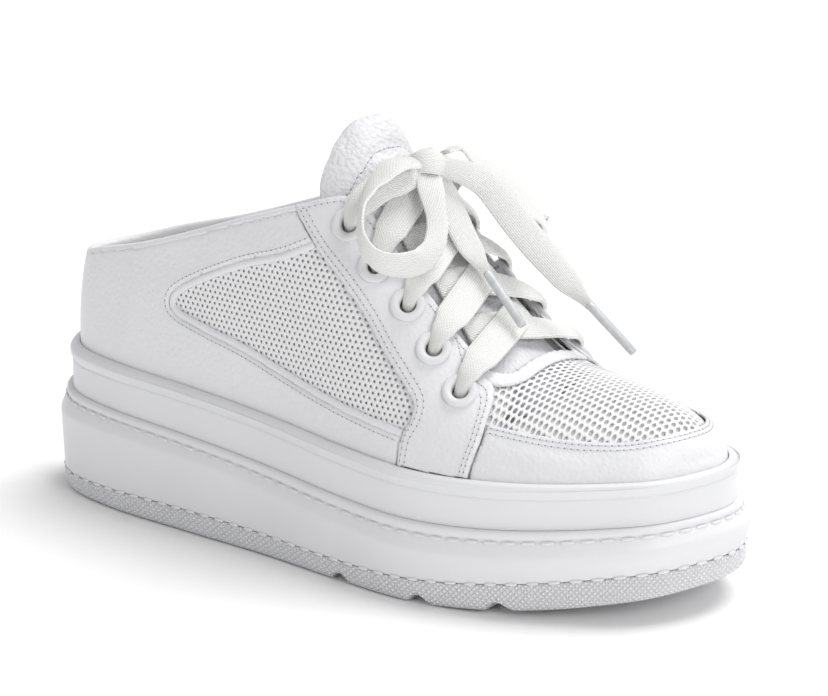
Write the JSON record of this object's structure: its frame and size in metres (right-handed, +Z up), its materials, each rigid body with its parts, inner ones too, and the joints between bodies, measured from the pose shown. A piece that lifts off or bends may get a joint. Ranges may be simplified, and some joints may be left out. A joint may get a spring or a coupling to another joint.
{
  "type": "sneaker",
  "caption": "Right-foot platform sneaker with a low open collar, mesh side and toe panels, flat laces tied in a bow and a thick cupped sole.",
  "frame": {"origin": "on the floor, under the middle of the sole's length and width", "axes": "+X from heel to toe, +Y to the inner side of the foot, +Z up"},
  "size_m": [0.26, 0.0976, 0.1367],
  "materials": {
    "sole_rubber": "moulded, matt",
    "sole_foam": "moulded, satin",
    "lining": "smooth, dull",
    "mesh_cloth": "knitted mesh",
    "white_leather": "fine grain, satin",
    "eyelet_plastic": "smooth",
    "lace_weave": "flat weave",
    "aglet_plastic": "clear film"
  },
  "bodies": {
    "root": {"outsole": "sole_rubber", "midsole": "sole_foam", "cup_wall": "sole_foam", "insole": "lining", "upper": "mesh_cloth", "quarter": "white_leather", "toe_cap": "white_leather", "eyestay_outer": "white_leather", "eyestay_inner": "white_leather", "tongue": "white_leather", "eyelet_outer_1": "eyelet_plastic", "eyelet_outer_2": "eyelet_plastic", "eyelet_outer_3": "eyelet_plastic", "eyelet_outer_4": "eyelet_plastic", "eyelet_outer_5": "eyelet_plastic", "eyelet_inner_1": "eyelet_plastic", "eyelet_inner_2": "eyelet_plastic", "eyelet_inner_3": "eyelet_plastic", "eyelet_inner_4": "eyelet_plastic", "eyelet_inner_5": "eyelet_plastic", "lace_crossing_1": "lace_weave", "lace_crossing_2": "lace_weave", "lace_crossing_3": "lace_weave", "lace_crossing_4": "lace_weave", "lace_top_outer": "lace_weave", "lace_top_inner": "lace_weave", "lace_knot": "lace_weave", "lace_loop_outer": "lace_weave", "lace_loop_inner": "lace_weave", "lace_end_outer": "lace_weave", "lace_end_inner": "lace_weave", "aglet_outer": "aglet_plastic", "aglet_inner": "aglet_plastic"}
  },
  "joints": []
}
